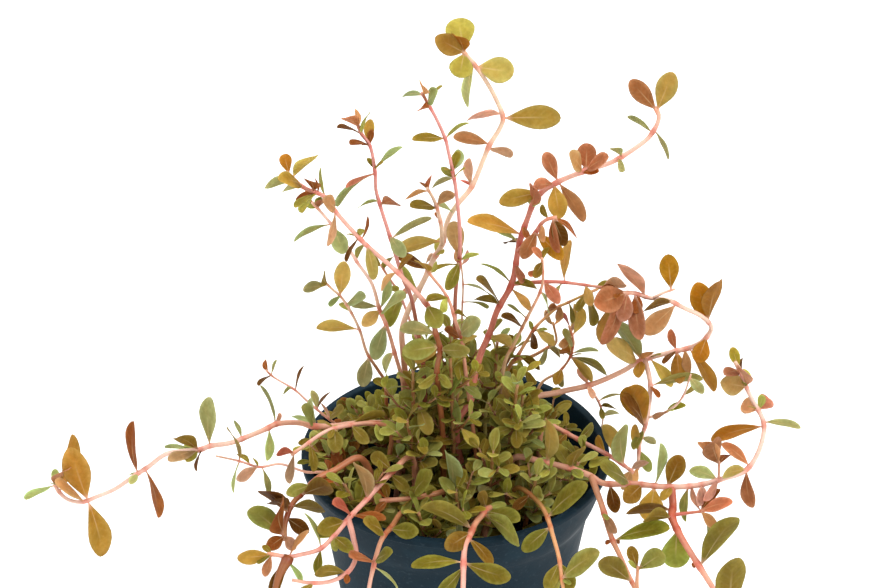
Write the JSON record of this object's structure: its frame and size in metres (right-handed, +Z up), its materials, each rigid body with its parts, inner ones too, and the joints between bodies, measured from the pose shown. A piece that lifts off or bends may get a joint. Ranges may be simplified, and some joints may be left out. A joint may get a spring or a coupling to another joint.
{
  "type": "potted aquarium stem plant",
  "caption": "Loose bunch of pink-stemmed Rotala H'ra shoots with small olive and rust leaves, growing from a fibrous plug in a round dark plastic pot.",
  "frame": {"origin": "centre of the pot's underside", "axes": "+Z up along the pot's axis; +X to the right and -Y towards the viewer in the picture; millimetre model stored in metres"},
  "size_m": [0.1265, 0.0703, 0.1275],
  "materials": {
    "pot": "dark slate blue moulded plastic, satin, faintly scuffed",
    "growing_medium": "damp dark brown matted fibre",
    "shoots": "satin living leaves in green, olive, gold and rust on pale pink stems"
  },
  "bodies": {
    "root": {"pot": "pot", "growing_medium": "growing_medium", "crown_shoot": "shoots", "tall_red_shoot": "shoots", "upright_red_shoot": "shoots", "dark_red_shoot": "shoots", "left_leaning_shoot": "shoots", "left_companion_shoot": "shoots", "small_left_shoot": "shoots", "right_leaning_shoot": "shoots", "right_inner_shoot": "shoots", "tan_shoot": "shoots", "right_red_shoot": "shoots", "yellow_green_shoot": "shoots", "hairpin_shoot": "shoots", "long_right_shoot": "shoots", "slanting_pink_shoot": "shoots", "front_right_shoot": "shoots", "front_shoot": "shoots", "front_left_shoot": "shoots", "pale_front_shoot": "shoots", "left_front_shoot": "shoots", "left_cluster_shoot": "shoots", "long_left_shoot": "shoots", "pink_left_shoot": "shoots", "thin_left_shoot": "shoots", "thin_back_left_shoot": "shoots", "thin_pale_shoot": "shoots", "inner_pink_shoot": "shoots", "low_shoot_01": "shoots", "low_shoot_02": "shoots", "low_shoot_03": "shoots", "low_shoot_04": "shoots", "low_shoot_05": "shoots", "low_shoot_06": "shoots", "low_shoot_07": "shoots", "low_shoot_08": "shoots", "low_shoot_09": "shoots", "low_shoot_10": "shoots", "low_shoot_11": "shoots", "low_shoot_12": "shoots", "low_shoot_13": "shoots", "low_shoot_14": "shoots", "low_shoot_15": "shoots", "low_shoot_16": "shoots", "low_shoot_17": "shoots", "low_shoot_18": "shoots", "low_shoot_19": "shoots", "low_shoot_20": "shoots", "low_shoot_21": "shoots", "low_shoot_22": "shoots", "low_shoot_23": "shoots", "low_shoot_24": "shoots", "low_shoot_25": "shoots"}
  },
  "joints": []
}
